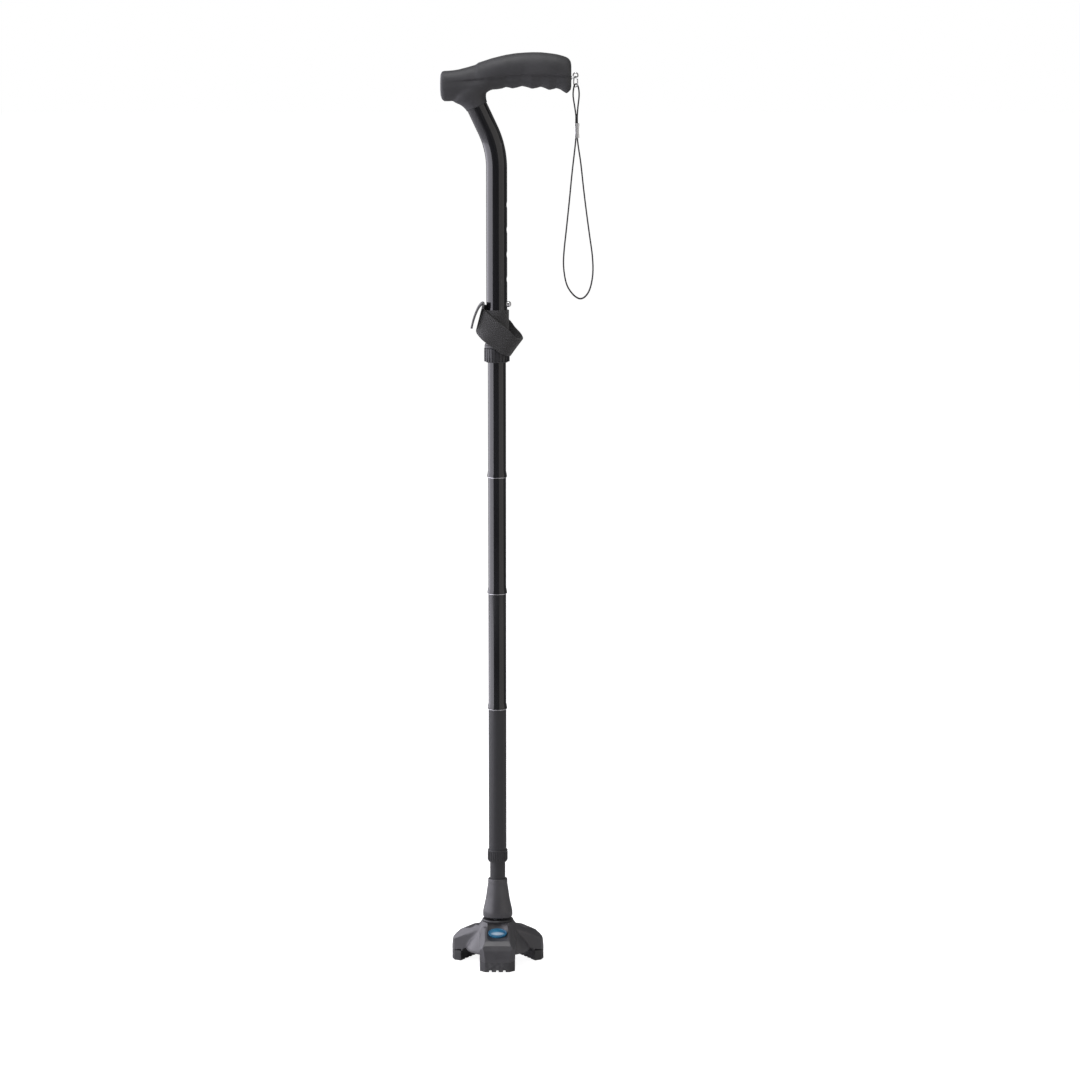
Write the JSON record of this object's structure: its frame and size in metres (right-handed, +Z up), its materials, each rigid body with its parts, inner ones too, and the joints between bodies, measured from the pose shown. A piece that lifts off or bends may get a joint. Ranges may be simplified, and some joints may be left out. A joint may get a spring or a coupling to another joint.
{
  "type": "walking cane",
  "caption": "Folding height-adjustable walking cane with an offset T grip, wrist loop, wrap strap and a tilting, turning three-footed rubber base.",
  "frame": {"origin": "on the ground plane, on the axis of the straight shaft", "axes": "+Z up along the shaft; +X the way the grip points; -Y the front foot and its badge"},
  "size_m": [0.1564, 0.0855, 0.9479],
  "materials": {
    "soft_grip": "matte soft-touch",
    "core_plastic": "moulded",
    "bright_steel": "polished",
    "ribbon": "flat woven polyester",
    "crimp_metal": "pressed, bright",
    "black_tube": "gloss black",
    "black_plastic": "fine moulded grain",
    "white_plastic": "natural acetal",
    "webbing": "woven nylon",
    "hook_tape": "hook tape",
    "spring_steel": "rolled",
    "plug_aluminium": "turned",
    "elastic": "braided elastic",
    "stem_paint": "satin dark grey",
    "foot_rubber": "matte dark grey",
    "tread_rubber": "matte",
    "badge": "gloss blue, no marking"
  },
  "bodies": {
    "upper": {"handle_grip": "soft_grip", "handle_core": "core_plastic", "handle_pin": "bright_steel", "strap_eyelet": "bright_steel", "upper_tube": "black_tube", "threaded_bushing": "black_plastic", "upper_collet": "white_plastic", "fold_strap": "webbing", "strap_hook_tab": "hook_tape"},
    "wrist_ring": {"split_ring": "bright_steel"},
    "wrist_loop": {"wrist_strap": "ribbon", "strap_crimp": "crimp_metal"},
    "lock_nut": {"upper_lock_nut": "black_plastic"},
    "section_1": {"shaft_section_1": "black_tube", "elastic_cord_1": "elastic", "cord_anchor_top": "white_plastic", "snap_spring": "spring_steel"},
    "button": {"snap_button": "bright_steel"},
    "section_2": {"shaft_section_2": "black_tube", "fold_plug_2": "plug_aluminium", "elastic_cord_2": "elastic"},
    "section_3": {"shaft_section_3": "black_tube", "fold_plug_3": "plug_aluminium", "elastic_cord_3": "elastic"},
    "section_4": {"shaft_section_4": "black_tube", "fold_plug_4": "plug_aluminium", "elastic_cord_4": "elastic", "cord_anchor_bottom": "white_plastic", "lower_collet": "white_plastic", "stem_tube": "stem_paint", "stem_bush": "white_plastic", "foot_cone": "foot_rubber"},
    "lower_ring": {"lower_lock_ring": "black_plastic"},
    "stud": {"ball_stud": "bright_steel", "stud_clip": "spring_steel"},
    "liner": {"ball_liner": "white_plastic"},
    "foot": {"foot_hub": "foot_rubber", "retaining_ring": "black_plastic", "tread_front": "tread_rubber", "tread_back_right": "tread_rubber", "tread_back_left": "tread_rubber", "badge_plate": "badge", "hub_cover": "black_plastic", "cover_screws": "bright_steel"}
  },
  "joints": [
    {"name": "height_adjust", "type": "slide", "parent": "upper", "child": "section_1", "axis": [0, 0, 1], "range_m": [0, 0.1016], "deforming": ["snap_button"]},
    {"name": "button_press", "type": "slide", "parent": "section_1", "child": "button", "axis": [-1, 0, 0], "range_m": [0, 0.0048], "stiffness_N_per_m": 900, "deforming": ["snap_spring"]},
    {"name": "lock_nut_turn", "type": "hinge", "parent": "upper", "child": "lock_nut", "pos_m": [0, 0, 0.639], "axis": [0, 0, 1], "range_deg": [0, 180]},
    {"name": "fold_1", "type": "hinge", "parent": "section_1", "child": "section_2", "pos_m": [0, 0.0305, 0.5205], "axis": [1, 0, 0], "range_deg": [0, 180], "stiffness_Nm_per_rad": 0.05, "springref_deg": -85.94},
    {"name": "fold_2", "type": "hinge", "parent": "section_2", "child": "section_3", "pos_m": [-0.02641, -0.01525, 0.399], "axis": [-0.5, 0.866, 0], "range_deg": [0, 180], "stiffness_Nm_per_rad": 0.05, "springref_deg": -85.94},
    {"name": "fold_3", "type": "hinge", "parent": "section_3", "child": "section_4", "pos_m": [0, -0.0305, 0.2775], "axis": [-1, 0, 0], "range_deg": [0, 180], "stiffness_Nm_per_rad": 0.05, "springref_deg": -85.94},
    {"name": "lower_ring_turn", "type": "hinge", "parent": "section_4", "child": "lower_ring", "pos_m": [0, 0, 0.114], "axis": [0, 0, 1], "range_deg": [0, 120]},
    {"name": "foot_swivel", "type": "hinge", "parent": "section_4", "child": "stud", "pos_m": [0, 0, 0.035], "axis": [0, 0, 1], "continuous": true},
    {"name": "foot_tilt_side", "type": "hinge", "parent": "stud", "child": "liner", "pos_m": [0, 0, 0.035], "axis": [0, 1, 0], "range_deg": [-8.5, 8.5], "stiffness_Nm_per_rad": 14},
    {"name": "foot_tilt_fore", "type": "hinge", "parent": "liner", "child": "foot", "pos_m": [0, 0, 0.035], "axis": [1, 0, 0], "range_deg": [-8.5, 8.5], "stiffness_Nm_per_rad": 14},
    {"name": "wrist_ring_swing", "type": "hinge", "parent": "upper", "child": "wrist_ring", "pos_m": [0.0806, 0, 0.9246], "axis": [0, 1, 0], "range_deg": [-40, 6]},
    {"name": "wrist_loop_swing", "type": "hinge", "parent": "wrist_ring", "child": "wrist_loop", "pos_m": [0.0806, 0, 0.9131], "axis": [1, 0, 0], "range_deg": [-16, 16]}
  ]
}
